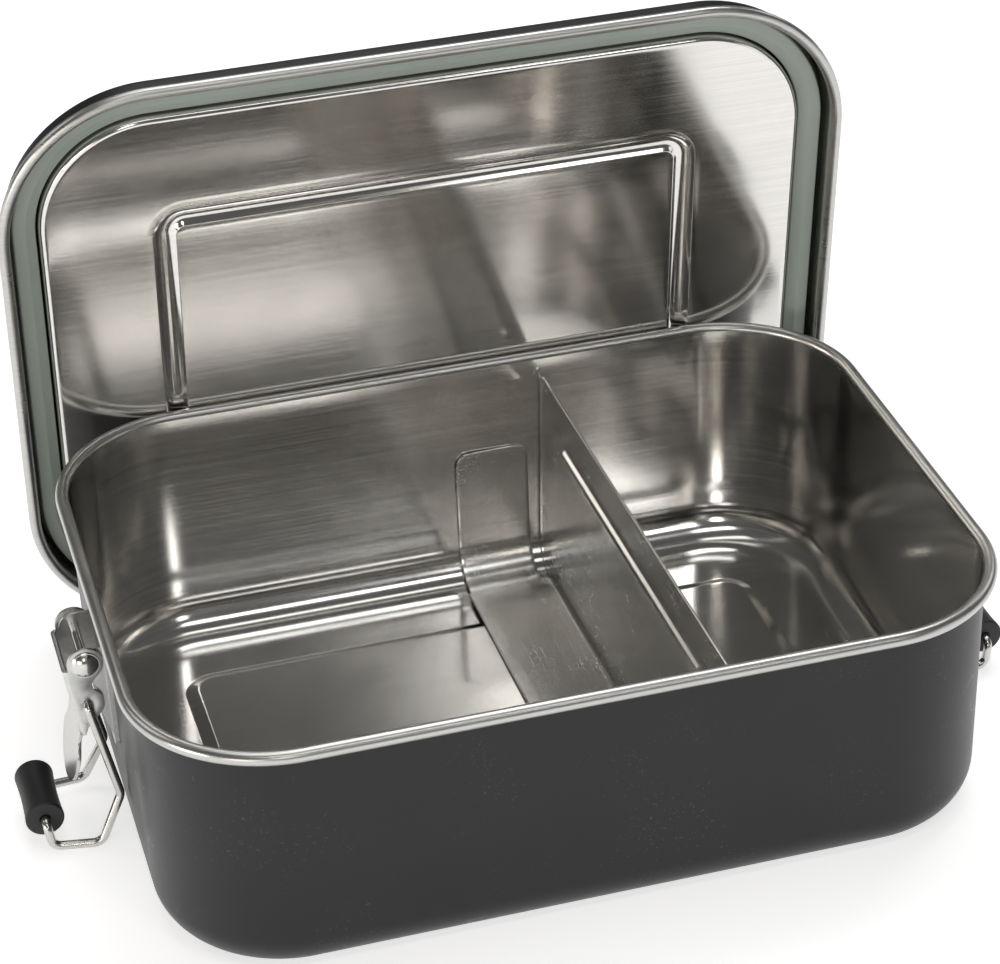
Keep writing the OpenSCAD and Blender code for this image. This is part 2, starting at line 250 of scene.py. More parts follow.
def makeGrainGroup():
    # lines left by brushing: short across, long along the directions with a small number;
    # a second set is for faces that lie flat
    tree = bpy.data.node_groups.new("brushGrain", "ShaderNodeTree")
    ins, outs = addSockets(tree, [
        ("Vector", "NodeSocketVector", None),
        ("Wall Lines", "NodeSocketVector", (22, 22, 2600)),
        ("Flat Lines", "NodeSocketVector", (22, 2600, 22)),
        ("Line Height", "NodeSocketFloat", 0.0012),
        ("Wave Height", "NodeSocketFloat", 0.05),
        ("Wave Scale", "NodeSocketFloat", 16),
    ], [("Lines", "NodeSocketFloat"), ("Height", "NodeSocketFloat")])
    lines = [noise(tree, stretch(tree, ins["Vector"], ins[scale]), 1.0, 4.0, 0.62)
             for scale in ("Wall Lines", "Flat Lines")]
    normal = addNode(tree, "ShaderNodeNewGeometry").outputs["True Normal"]
    upright = addNode(tree, "ShaderNodeSeparateXYZ", {0: normal}).outputs[2]
    flat = remap(tree, mathNode(tree, "ABSOLUTE", upright), 0.6, 0.85)  # faces that look up or down
    line = addNode(tree, "ShaderNodeMix", {0: flat, 2: lines[0], 3: lines[1]}).outputs[0]
    wave = noise(tree, ins["Vector"], ins["Wave Scale"], 1.0, 0.4)
    height = mathNode(tree, "ADD", mathNode(tree, "MULTIPLY", line, ins["Line Height"]),
                      mathNode(tree, "MULTIPLY", wave, ins["Wave Height"]))
    tree.links.new(height, outs["Height"])
    tree.links.new(remap(tree, line, 0.32, 0.68), outs["Lines"])
    return tree


def makeHandlingGroup():
    # what use leaves: cloudy wiping marks, fine dust and a few hair scratches
    tree = bpy.data.node_groups.new("handling", "ShaderNodeTree")
    ins, outs = addSockets(tree, [
        ("Vector", "NodeSocketVector", None),
        ("Cloud Scale", "NodeSocketFloat", 40),
        ("Dust Scale", "NodeSocketFloat", 1400),
        ("Dust Limit", "NodeSocketFloat", 0.66),
        ("Scratch Stretch", "NodeSocketVector", (90, 150, 60)),
        ("Scratch Breaks", "NodeSocketFloat", 120),
        ("Scratch Limit", "NodeSocketFloat", 0.012),
    ], [("Clouds", "NodeSocketFloat"), ("Dust", "NodeSocketFloat"), ("Scratches", "NodeSocketFloat")])
    clouds = noise(tree, ins["Vector"], ins["Cloud Scale"], 5.0, 0.55)
    dust = noise(tree, ins["Vector"], ins["Dust Scale"], 2.0, 0.6)
    spots = mathNode(tree, "GREATER_THAN", dust, ins["Dust Limit"])
    dusty = mathNode(tree, "MULTIPLY", spots, remap(tree, clouds, 0.45, 0.65))
    # scratches follow the middle value of a stretched noise, and stop and start
    swirl = stretch(tree, ins["Vector"], ins["Scratch Stretch"])
    off = mathNode(tree, "SUBTRACT", noise(tree, swirl, 1.0, 1.0, 0.4), 0.5)
    thin = mathNode(tree, "LESS_THAN", mathNode(tree, "ABSOLUTE", off), ins["Scratch Limit"])
    broken = remap(tree, noise(tree, ins["Vector"], ins["Scratch Breaks"], 2.0), 0.52, 0.6)
    tree.links.new(remap(tree, clouds, 0.3, 0.7), outs["Clouds"])
    tree.links.new(dusty, outs["Dust"])
    tree.links.new(mathNode(tree, "MULTIPLY", thin, broken), outs["Scratches"])
    return tree


def makeWearGroup():
    # rubbed band between two heights, where a painted part touches the table or its lid
    tree = bpy.data.node_groups.new("edgeWear", "ShaderNodeTree")
    ins, outs = addSockets(tree, [
        ("Vector", "NodeSocketVector", None),
        ("Low", "NodeSocketFloat", 0.0),
        ("High", "NodeSocketFloat", 0.003),
        ("Patch Scale", "NodeSocketFloat", 260),
        ("Amount", "NodeSocketFloat", 0.5),
    ], [("Wear", "NodeSocketFloat")])
    height = addNode(tree, "ShaderNodeSeparateXYZ", {0: ins["Vector"]}).outputs[2]
    band = addNode(tree, "ShaderNodeMapRange", {
        0: height, 1: ins["High"], 2: ins["Low"], 3: 0.0, 4: 1.0}).outputs[0]
    rubbed = remap(tree, noise(tree, ins["Vector"], ins["Patch Scale"], 5.0, 0.65), 0.42, 0.6)
    worn = mathNode(tree, "MULTIPLY", band, rubbed)
    tree.links.new(mathNode(tree, "MULTIPLY", worn, ins["Amount"]), outs["Wear"])
    return tree


grainGroup, handlingGroup, wearGroup = makeGrainGroup(), makeHandlingGroup(), makeWearGroup()


def startMaterial(name):
    material = bpy.data.materials.new(name)
    material.use_nodes = True
    tree = material.node_tree
    coords = addNode(tree, "ShaderNodeTexCoord").outputs["Object"]
    return material, tree, tree.nodes["Principled BSDF"], coords


def placeGroup(tree, group, coords, values):
    made = tree.nodes.new("ShaderNodeGroup")
    made.node_tree = group
    tree.links.new(coords, made.inputs["Vector"])
    for key, value in values.items():
        made.inputs[key].default_value = value
    return made.outputs


def shade(color, factor):
    return (*[c * factor for c in color], 1)


def blendColor(tree, factor, a, b):
    return addNode(tree, "ShaderNodeMix", {0: factor, 6: a, 7: b}, data_type="RGBA").outputs[2]


def addShare(tree, start, mark, share):
    # start plus a share of a mark
    return mathNode(tree, "ADD", start, mathNode(tree, "MULTIPLY", mark, share))


steelMarks = {"scratchShare": 0.1, "scratchLight": 1.15, "dustRough": 0.04}
coatMarks = {"dustColor": (0.45, 0.44, 0.42), "dustRough": 0.2, "scratchSmooth": 0.08, "wornLight": 3.5}


def makeSteel(name, s):
    material, tree, shader, coords = startMaterial(name)
    grain = placeGroup(tree, grainGroup, coords, s["grain"])
    marks = placeGroup(tree, handlingGroup, coords, s["marks"])
    tone = blendColor(tree, grain["Lines"], shade(s["color"], 1 - s["contrast"]), shade(s["color"], 1))
    scratched = mathNode(tree, "MULTIPLY", marks["Scratches"], steelMarks["scratchShare"])
    tone = blendColor(tree, scratched, tone, shade(s["color"], steelMarks["scratchLight"]))
    tree.links.new(tone, shader.inputs["Base Color"])
    rough = addShare(tree, s["roughness"], grain["Lines"], s["spread"])
    rough = addShare(tree, rough, marks["Clouds"], s["spread"])
    rough = addShare(tree, rough, marks["Dust"], steelMarks["dustRough"])
    tree.links.new(rough, shader.inputs["Roughness"])
    bump = addNode(tree, "ShaderNodeBump", {"Strength": 1.0, "Distance": mm, "Height": grain["Height"]})
    tree.links.new(bump.outputs[0], shader.inputs["Normal"])
    shader.inputs["Metallic"].default_value = 1
    shader.inputs["Anisotropic"].default_value = s["anisotropy"]
    return material


def makeCoat(name, s):
    # paint or rubber: a fine skin texture, cloudy tone, dust and rubbed edges
    material, tree, shader, coords = startMaterial(name)
    marks = placeGroup(tree, handlingGroup, coords, s["marks"])
    wear = placeGroup(tree, wearGroup, coords, s["wear"])["Wear"]
    skin = noise(tree, coords, s["skinScale"], 2.5, 0.55)
    tone = blendColor(tree, marks["Clouds"], shade(s["color"], 1 - s["contrast"]),
                      shade(s["color"], 1 + s["contrast"]))
    dusty = mathNode(tree, "MULTIPLY", marks["Dust"], s["dust"])
    tone = blendColor(tree, dusty, tone, (*coatMarks["dustColor"], 1))
    tone = blendColor(tree, wear, tone, shade(s["color"], coatMarks["wornLight"]))
    tree.links.new(tone, shader.inputs["Base Color"])
    rough = addShare(tree, s["roughness"], marks["Clouds"], s["spread"])
    rough = addShare(tree, rough, marks["Dust"], coatMarks["dustRough"])
    smooth = mathNode(tree, "MULTIPLY", marks["Scratches"], coatMarks["scratchSmooth"])
    tree.links.new(mathNode(tree, "SUBTRACT", rough, smooth), shader.inputs["Roughness"])
    bump = addNode(tree, "ShaderNodeBump", {
        "Strength": 1.0, "Distance": s["skinHeight"] * mm, "Height": skin})
    tree.links.new(bump.outputs[0], shader.inputs["Normal"])
    shader.inputs["Specular IOR Level"].default_value = s["gloss"]
    return material


steels = {
    "insideSteel": {"color": (0.72, 0.71, 0.69), "roughness": 0.11, "spread": 0.03, "contrast": 0.1,
                    "anisotropy": 0.3, "grain": {"Line Height": 0.0016}, "marks": {"Cloud Scale": 40}},
    "lidSteel": {"color": (0.74, 0.725, 0.70), "roughness": 0.085, "spread": 0.03, "contrast": 0.08,
                 "anisotropy": 0.3, "grain": {"Flat Lines": (22, 22, 2600), "Wave Height": 0.05},
                 "marks": {"Cloud Scale": 40}},
    "dividerSteel": {"color": (0.7, 0.69, 0.67), "roughness": 0.22, "spread": 0.03, "contrast": 0.06,
                     "anisotropy": 0.2, "marks": {"Cloud Scale": 40},
                     "grain": {"Flat Lines": (2600, 22, 22), "Line Height": 0.0004, "Wave Height": 0.03}},
    # the rolled curl is the same sheet as the inside steel, given a darker colour: painted shade, so that
    # it mirrors less of the bright floor
    "rimShadedSteel": {"color": (0.55, 0.545, 0.53), "roughness": 0.26, "spread": 0.05, "contrast": 0.1,
                 "anisotropy": 0, "grain": {"Flat Lines": (60, 60, 2600), "Wave Height": 0.0},
                 "marks": {"Cloud Scale": 40}},
    "leverSteel": {"color": (0.62, 0.62, 0.61), "roughness": 0.27, "spread": 0.06, "contrast": 0.1,
                   "anisotropy": 0, "marks": {"Scratch Limit": 0.012},
                   "grain": {"Wall Lines": (900, 900, 900), "Flat Lines": (900, 900, 900),
                             "Wave Height": 0.01, "Wave Scale": 90}},
    "rivetSteel": {"color": (0.66, 0.65, 0.64), "roughness": 0.12, "spread": 0.04, "contrast": 0.08,
                   "anisotropy": 0, "marks": {"Scratch Limit": 0.012},
                   "grain": {"Wall Lines": (600, 600, 600), "Flat Lines": (600, 600, 600),
                             "Wave Height": 0.008, "Wave Scale": 200}},
    "wireSteel": {"color": (0.6, 0.59, 0.57), "roughness": 0.2, "spread": 0.05, "contrast": 0.12,
                  "anisotropy": 0, "marks": {"Scratch Limit": 0.012},
                  "grain": {"Wall Lines": (1500, 1500, 120), "Flat Lines": (120, 1500, 1500),
                            "Wave Height": 0.0}},
}
coats = {
    "outerPaint": {"color": (0.0115, 0.0115, 0.0135), "roughness": 0.36, "spread": 0.05, "contrast": 0.12,
                   "dust": 0.1, "skinScale": 1100, "skinHeight": 0.006, "gloss": 0.34,
                   "wear": {"High": 0.0022, "Amount": 0.5}, "marks": {"Dust Limit": 0.66}},
    "sealRubber": {"color": (0.32, 0.363, 0.322), "roughness": 0.42, "spread": 0.08, "contrast": 0.04,
                   "dust": 0.12, "skinScale": 700, "skinHeight": 0.004, "gloss": 0.5,
                   "wear": {"Amount": 0.0}, "marks": {"Dust Limit": 0.66}},
    "rollerRubber": {"color": (0.012, 0.012, 0.013), "roughness": 0.5, "spread": 0.08, "contrast": 0.2,
                     "dust": 0.3, "skinScale": 1500, "skinHeight": 0.012, "gloss": 0.5,
                     "wear": {"Amount": 0.0}, "marks": {"Dust Limit": 0.66}},
}
insideSteel, lidSteel, dividerSteel, rimShadedSteel, leverSteel, rivetSteel, wireSteel = (
    makeSteel(name, s) for name, s in steels.items())
outerPaint, sealRubber, rollerRubber = (makeCoat(name, s) for name, s in coats.items())
print("finishes ready")


def makeSweepTree():
    # sweeps a profile round a rounded rectangle and gives each zone its material
    tree = bpy.data.node_groups.new("sweepRound", "GeometryNodeTree")
    ins, outs = addSockets(tree, [
        ("Profile", "NodeSocketGeometry", None),
        ("Half Length", "NodeSocketFloat", 0.066),
        ("Half Width", "NodeSocketFloat", 0.04),
        ("Corner Radius", "NodeSocketFloat", 0.03),
        ("Corner Steps", "NodeSocketInt", 120),
        ("Spacing", "NodeSocketFloat", 0.002),
        ("Inside Material", "NodeSocketMaterial", None),
        ("Rim Material", "NodeSocketMaterial", None),
        ("Outside Material", "NodeSocketMaterial", None),
    ], [("Shell", "NodeSocketGeometry")])
    sides = [mathNode(tree, "MULTIPLY", mathNode(tree, "ADD", ins[half], ins["Corner Radius"]), 2.0)
             for half in ("Half Length", "Half Width")]
    path = addNode(tree, "GeometryNodeCurvePrimitiveQuadrilateral", {
        "Width": sides[0], "Height": sides[1]})
    path = addNode(tree, "GeometryNodeFilletCurve", {
        "Curve": path.outputs[0], "Radius": ins["Corner Radius"],
        "Count": ins["Corner Steps"]}, mode="POLY")
    path = addNode(tree, "GeometryNodeResampleCurve", {
        "Curve": path.outputs[0], "Length": ins["Spacing"]}, mode="LENGTH")
    path = addNode(tree, "GeometryNodeSetCurveNormal", {"Curve": path.outputs[0]}, mode="Z_UP")
    profile = addNode(tree, "GeometryNodeMeshToCurve", {"Mesh": ins["Profile"]})
    shell = addNode(tree, "GeometryNodeCurveToMesh", {
        "Curve": path.outputs[0], "Profile Curve": profile.outputs[0]})
    shell = addNode(tree, "GeometryNodeSetShadeSmooth", {"Geometry": shell.outputs[0]})
    shell = addNode(tree, "GeometryNodeRealizeInstances", {"Geometry": shell.outputs[0]}).outputs[0]
    zone = addNode(tree, "GeometryNodeInputNamedAttribute", {"Name": "zone"},
                   data_type="FLOAT").outputs[0]
    for i, name in enumerate(("Inside Material", "Rim Material", "Outside Material")):
        chosen = addNode(tree, "FunctionNodeCompare", {0: zone, 1: i - 0.5},
                         operation="GREATER_THAN", data_type="FLOAT").outputs[0]
        shell = addNode(tree, "GeometryNodeSetMaterial", {
            "Geometry": shell, "Selection": chosen, "Material": ins[name]}).outputs[0]
    tree.links.new(shell, outs["Shell"])
    return tree


sweepTree = makeSweepTree()
sweeping = {"spacing": 2.0, "cornerSteps": 120}


def profileMesh(name, zones, closed):
    # zones: list of (zone number, points in mm); x is the distance out from the sweep path
    points, marks = [], []
    for zone, run in zones:
        for p in run:
            if points and (Vector(p) - Vector(points[-1])).length * mm < touch / 10:
                continue
            points.append(p)
            marks.append(zone)
    edges = [(i, i + 1) for i in range(len(points) - 1)]
    if closed:
        edges.append((len(points) - 1, 0))
    mesh = bpy.data.meshes.new(name)
    # the sweep turns -y into up
    mesh.from_pydata([(x * mm, -y * mm, 0) for x, y in points], edges, [])
    mesh.attributes.new("zone", "FLOAT", "POINT").data.foreach_set("value", marks)
    return mesh


def bakeTree(piece, tree, values):
    # runs a geometry tree on a piece and keeps its result as a plain mesh
    modifier = piece.modifiers.new("shape", "NODES")
    modifier.node_group = tree
    for item in tree.interface.items_tree:
        if item.item_type == "SOCKET" and item.in_out == "INPUT" and item.name in values:
            modifier[item.identifier] = values[item.name]
    graph = bpy.context.evaluated_depsgraph_get()
    made = bpy.data.meshes.new_from_object(piece.evaluated_get(graph))
    piece.modifiers.remove(modifier)
    old = piece.data
    piece.data = made
    bpy.data.meshes.remove(old)
    made.name = piece.name


def closeMesh(mesh, levels=()):
    # welds the seams and fills each flat opening; levels are the heights of the openings, in mm
    bm = bmesh.new()
    bm.from_mesh(mesh)
    bmesh.ops.remove_doubles(bm, verts=bm.verts, dist=touch)
    for level in levels:
        edges = [e for e in bm.edges
                 if e.is_boundary and all(abs(v.co.z - level * mm) < touch for v in e.verts)]
        side = edges[0].link_faces[0].material_index
        made = bmesh.ops.triangle_fill(bm, use_beauty=True, edges=edges)
        for f in made["geom"]:
            if isinstance(f, bmesh.types.BMFace):
                f.material_index = side
                f.smooth = True
    bmesh.ops.recalc_face_normals(bm, faces=bm.faces)
    bm.to_mesh(mesh)
    bm.free()


def sweep(name, zones, s, materials, spacing=sweeping["spacing"], closed=False):
    zones = [(zone, [(x - s["path"], y) for x, y in run]) for zone, run in zones]
    piece = newPiece(name, profileMesh(name, zones, closed))
    bakeTree(piece, sweepTree, {
        "Half Length": s["halfLength"] * mm, "Half Width": s["halfWidth"] * mm,
        "Corner Radius": s["path"] * mm, "Corner Steps": sweeping["cornerSteps"],
        "Spacing": spacing * mm, "Inside Material": materials[0], "Rim Material": materials[1],
        "Outside Material": materials[2]})
    return piece


# sizes are in mm: half sides of the straight runs, the corner's sweep radius (path), then the section
box = {"halfLength": 66, "halfWidth": 40, "path": 34, "sheet": 0.6, "rimHigh": 60.9, "rimRadius": 1.6,
       "wallTop": 31.4, "wallFoot": 30.7, "bend": 10.5, "flat": 3.2, "curlEnd": -103, "paintStart": 0.1,
       "panelFoot": 8, "panelSlope": 3, "panelRise": 1, "panelRound": 2.5, "panelPast": 1,
       "floorSteps": 4, "bendSteps": 14, "wallSteps": 9, "curlSteps": (26, 16)}


def makeBox():
    b = box
    t, r = b["sheet"], b["rimRadius"]
    rim = (b["path"] - r, b["rimHigh"])
    bendAt = (b["wallFoot"] - b["bend"], b["bend"])
    topEdge = b["panelFoot"] - b["panelSlope"]

    def floorRun(z):
        # flat panel, rounded slope and lower flat, from the middle outwards
        high = z + b["panelRise"]
        start, edge = (b["flat"], high), (topEdge, high)
        foot, end = (b["panelFoot"], z), (bendAt[0], z)
        return [start, *roundCorner(start, edge, foot, b["panelRound"]),
                *roundCorner(edge, foot, end, b["panelRound"]),
                *stretchPoints((b["panelFoot"] + b["panelPast"], z), end, b["floorSteps"])]

    wallIn, wallOut = (b["wallFoot"] - t, b["bend"]), (b["wallFoot"], b["bend"])
    topIn, topOut = (rim[0] - r, rim[1]), (rim[0] - r + t, rim[1])
    inner = [*floorRun(t), *arcPoints(bendAt, b["bend"] - t, -90, 0, b["bendSteps"]),
             *stretchPoints(wallIn, topIn, b["wallSteps"])]
    outer = [(topOut[0], topOut[1] - b["paintStart"]), *stretchPoints(topOut, wallOut, b["wallSteps"]),
             *arcPoints(bendAt, b["bend"], 0, -90, b["bendSteps"]), *reversed(floorRun(0))]
    curl = [*arcPoints(rim, r, 180, b["curlEnd"], b["curlSteps"][0]),
            *arcPoints(rim, r - t, b["curlEnd"], 180, b["curlSteps"][1])]
    materials = (insideSteel, rimShadedSteel, outerPaint)
    piece = sweep("boxShell", [(0, inner), (1, curl), (2, outer)], b, materials)
    closeMesh(piece.data, (t + b["panelRise"], b["panelRise"]))
    placePiece(piece, "box_body")


makeBox()
print("box pressed")


lid = {"halfLength": 66, "halfWidth": 40, "path": 34, "edge": 37.9, "sheet": 0.6, "high": 10, "curl": 1.4,
       "skirt": 35.1, "press": 2.2, "channel": 27.8, "panel": 4.5, "panelBend": 1.5, "panelPast": 0.6,
       "flat": 22, "curlEnd": 103, "paintStart": 0.1, "halfWide": 77.9, "lean": 7,
       "place": (0, 77.278, -0.16), "curlSteps": (26, 14), "skirtSteps": 3, "bendSteps": (10, 6),
       "pressSteps": (8, 10)}
rib = {"halfLength": 59.3, "halfWidth": 34.8, "path": 5.25, "half": 2.75, "high": 1.2, "reach": 4.6,
       "footRound": 0.36, "paintGrow": 0.25, "spacing": 0.9, "arcSteps": 12, "footSteps": 4}


def ribRun(z, grow):
    # section of the rib: an arc between two small feet, from the outside in
    half, high = rib["half"] + grow, rib["high"]
    r = (half * half + high * high) / (2 * high)
    lean = math.degrees(math.asin(half / r))
    arc = [(x + rib["path"], y)
           for x, y in arcPoints((0, z + high - r), r, 90 - lean, 90 + lean, rib["arcSteps"])]
    first, last = (rib["path"] + rib["reach"], z), (rib["path"] - rib["reach"], z)
    bend = (rib["footRound"], rib["footSteps"])
    return [first, *roundCorner(first, arc[0], arc[1], *bend), *arc[2:-2],
            *roundCorner(arc[-2], arc[-1], last, *bend), last]


def leanMatrix():
    tilt = Matrix.Rotation(math.radians(lid["lean"] - 90), 4, "X")
    down = Matrix.Translation((0, -lid["halfWide"] * mm, 0))
    return Matrix.Translation(Vector(lid["place"]) * mm) @ tilt @ down


def makeLid():
    s = lid
    t, top, press, bend = s["sheet"], s["high"] - s["press"], s["press"], s["panelBend"]
    pressIn, pressOut = s["pressSteps"]
    bendIn, bendOut = s["bendSteps"]
    curl = (s["edge"] - s["curl"], s["curl"])
    curlStop = 360 + s["curlEnd"]
    outCorner, inCorner = (s["skirt"] + t - press, top), (s["channel"] - t + press, top)
    bendAt = (s["channel"] - bend, s["panel"] + bend)
    panelEnd = bendAt[0] - s["panelPast"]
    skirtIn, skirtOut = s["skirt"], s["skirt"] + t
    inner = [(s["flat"], s["panel"]), (panelEnd, s["panel"]),
             *arcPoints(bendAt, bend, -90, 0, bendIn), *arcPoints(inCorner, press - t, 180, 90, pressIn),
             *arcPoints(outCorner, press - t, 90, 0, pressIn),
             *stretchPoints((skirtIn, top), (skirtIn, s["curl"]), s["skirtSteps"])]
    curlRun = [*arcPoints(curl, s["curl"], 180, curlStop, s["curlSteps"][0]),
               *arcPoints(curl, s["curl"] - t, curlStop, 180, s["curlSteps"][1])]
    outer = [(skirtOut, s["curl"] + s["paintStart"]),
             *stretchPoints((skirtOut, s["curl"]), (skirtOut, top), s["skirtSteps"]),
             *arcPoints(outCorner, press, 0, 90, pressOut), *arcPoints(inCorner, press, 90, 180, pressOut),
             *arcPoints(bendAt, bend - t, 0, -90, bendOut),
             (panelEnd, s["panel"] + t), (s["flat"], s["panel"] + t)]
    materials = (lidSteel, rimShadedSteel, outerPaint)
    piece = sweep("lidShell", [(0, inner), (1, curlRun), (2, outer)], s, materials)
    ribs = [sweep(name, [(zone, ribRun(high, grow))], rib, materials, rib["spacing"])
            for name, zone, high, grow in (("ribIn", 0, s["panel"], 0),
                                           ("ribOut", 2, s["panel"] + t, rib["paintGrow"]))]
    # the rib joins the shell's mesh, so its faces take the shell's material numbers
    slots = [m.name for m in materials]
    bm = bmesh.new()
    bm.from_mesh(piece.data)
    for part in ribs:
        for polygon in part.data.polygons:
            polygon.material_index = slots.index(part.data.materials[polygon.material_index].name)
        bm.from_mesh(part.data)
        bpy.data.objects.remove(part)
    bm.to_mesh(piece.data)
    bm.free()
    closeMesh(piece.data, (s["panel"], s["panel"] + t))
    piece.data.transform(leanMatrix())
    placePiece(piece, "lid_shell")


makeLid()
print("lid pressed")


seal = {"halfLength": 66, "halfWidth": 40, "path": 31, "in": 28.3, "out": 33.9, "face": 5.0, "slope": 1.2,
        "ridge": 0.45, "back": 9.4, "cut": 1.2, "round": 0.55}


def makeSeal():
    s = seal
    ridge = s["in"] + s["ridge"] * (s["out"] - s["in"])
    corners = [(s["in"], s["face"] + s["slope"]), (ridge, s["face"]), (s["out"], s["face"]),
               (s["out"], s["back"] - s["cut"]), (s["out"] - s["cut"], s["back"]),
               (s["in"] + s["cut"], s["back"]), (s["in"], s["back"] - s["cut"])]
    run = []
    for i, corner in enumerate(corners):
        run += roundCorner(corners[i - 1], corner, corners[(i + 1) % len(corners)], s["round"])
    piece = sweep("lidSeal", [(0, run)], s, (sealRubber,) * 3, closed=True)
    closeMesh(piece.data)
    piece.data.transform(leanMatrix())
    placePiece(piece, "lid_seal")


makeSeal()
print("seal laid in")


def gridSheet(bm, rows):
    # joins rows of equally many points, in mm, with quads
    made = [[bm.verts.new(Vector(p) * mm) for p in row] for row in rows]
    for a, b in zip(made, made[1:]):
        for i in range(len(a) - 1):
            bm.faces.new((a[i], a[i + 1], b[i + 1], b[i]))


def bevelEdges(piece, width, segments, angle):
    bevel = piece.modifiers.new("edges", "BEVEL")
    bevel.width, bevel.segments = width * mm, segments
    bevel.limit_method, bevel.angle_limit = "ANGLE", math.radians(angle)
    return bevel


sheetFinish = {"weld": 0.02, "segments": 2, "edgeAngle": 60}


def sheetPiece(name, bm, s, material):
    # the mesh is the middle of the sheet; it gets its thickness and rounded edges here
    bmesh.ops.remove_doubles(bm, verts=bm.verts, dist=sheetFinish["weld"] * mm)
    bmesh.ops.recalc_face_normals(bm, faces=bm.faces)
    mesh = bpy.data.meshes.new(name)
    bm.to_mesh(mesh)
    bm.free()
    mesh.materials.append(material)
    mesh.shade_smooth()
    piece = newPiece(name, mesh)
    wall = piece.modifiers.new("sheet", "SOLIDIFY")
    wall.thickness, wall.offset, wall.use_even_offset = s["sheet"] * mm, 0, True
    bevelEdges(piece, s["edge"], sheetFinish["segments"], sheetFinish["edgeAngle"])
    return piece


def smoothByAngle(mesh, angle=35):
    mesh.shade_smooth()
    mesh.set_sharp_from_angle(angle=math.radians(angle))


# latch parts are drawn in (out, along, up) from the rivet; sign mirrors them to the other end
latch = {"pivot": (102.7, 49.3)}
bail = {"points": [(0.6, 7.4, -10.8), (0.6, 10.3, -10.8), (-4.3, 11.4, -35.1), (1.4, 12.9, -46.7),
                   (12.5, 11.6, -46.2), (13.3, 11.3, -40.3)], "bends": [1.3, 3, 3, 2.4, 1.9],
        "wire": 1.05, "sides": 24, "bendSteps": 10, "smoothAngle": 50}


def makeWireTree():
    # round wire along a path of straight runs, each corner bent to its own radius
    tree = bpy.data.node_groups.new("bentWire", "GeometryNodeTree")
    ins, outs = addSockets(tree, [
        ("Path", "NodeSocketGeometry", None),
        ("Wire Radius", "NodeSocketFloat", 0.001),
        ("Sides", "NodeSocketInt", 24),
        ("Bend Steps", "NodeSocketInt", 10),
        ("Material", "NodeSocketMaterial", None),
    ], [("Wire", "NodeSocketGeometry")])
    curve = addNode(tree, "GeometryNodeMeshToCurve", {"Mesh": ins["Path"]})
    bend = addNode(tree, "GeometryNodeInputNamedAttribute", {"Name": "bend"},
                   data_type="FLOAT").outputs[0]
    curve = addNode(tree, "GeometryNodeFilletCurve", {
        "Curve": curve.outputs[0], "Radius": bend, "Count": ins["Bend Steps"]}, mode="POLY")
    ring = addNode(tree, "GeometryNodeCurvePrimitiveCircle", {
        "Resolution": ins["Sides"], "Radius": ins["Wire Radius"]})
    wire = addNode(tree, "GeometryNodeCurveToMesh", {
        "Curve": curve.outputs[0], "Profile Curve": ring.outputs[0], "Fill Caps": True})
    wire = addNode(tree, "GeometryNodeRealizeInstances", {"Geometry": wire.outputs[0]})
    wire = addNode(tree, "GeometryNodeSetMaterial", {
        "Geometry": wire.outputs[0], "Material": ins["Material"]})
    tree.links.new(wire.outputs[0], outs["Wire"])
    return tree


wireTree = makeWireTree()


def makeBail(side, sign):
    half = bail["points"]
    points = half + [(u, -y, w) for u, y, w in reversed(half)]
    bends = [0, *bail["bends"], *reversed(bail["bends"]), 0]
    u0, z0 = latch["pivot"]
    mesh = bpy.data.meshes.new(side + "Bail")
    mesh.from_pydata([(sign * (u0 + u) * mm, y * mm, (z0 + w) * mm) for u, y, w in points],
                     [(i, i + 1) for i in range(len(points) - 1)], [])
    mesh.attributes.new("bend", "FLOAT", "POINT").data.foreach_set("value", [b * mm for b in bends])
    piece = newPiece(side + "Bail", mesh)
    bakeTree(piece, wireTree, {"Wire Radius": bail["wire"] * mm, "Sides": bail["sides"],
                               "Bend Steps": bail["bendSteps"], "Material": wireSteel})
    closeMesh(piece.data)
    smoothByAngle(piece.data, bail["smoothAngle"])
    placePiece(piece, side + "_bail")


def latheY(name, profile, place, material, steps=48):
    # solid of revolution about an axis along Y; profile is (radius, y) in mm
    bm = bmesh.new()
    turns = [2 * math.pi * i / steps for i in range(steps)]
    rings = []
    for r, y in profile:
        if r == 0:
            rings.append([bm.verts.new((0, y * mm, 0))])
        else:
            rings.append([bm.verts.new((r * mm * math.cos(a), y * mm, r * mm * math.sin(a)))
                          for a in turns])
    for a, b in zip(rings, rings[1:]):
        for i in range(steps):
            j = (i + 1) % steps
            corners = [a[i % len(a)], a[j % len(a)], b[j % len(b)], b[i % len(b)]]
            bm.faces.new(list(dict.fromkeys(corners)))
    if len(rings[0]) > 1:  # a bore joins the last ring to the first
        for i in range(steps):
            j = (i + 1) % steps
            bm.faces.new((rings[-1][i], rings[-1][j], rings[0][j], rings[0][i]))
    bmesh.ops.recalc_face_normals(bm, faces=bm.faces)
    mesh = bpy.data.meshes.new(name)
    bm.to_mesh(mesh)
    bm.free()
    mesh.transform(Matrix.Translation(Vector(place) * mm))
    mesh.materials.append(material)
    smoothByAngle(mesh)
    return newPiece(name, mesh)


roller = {"radius": 4.5, "waist": 0.3, "length": 17.8, "bore": 1.13, "boreCut": 0.3, "edge": 0.5,
          "place": (116.0, 9.0), "steps": 64, "edgeSteps": 6, "waistSteps": 16}


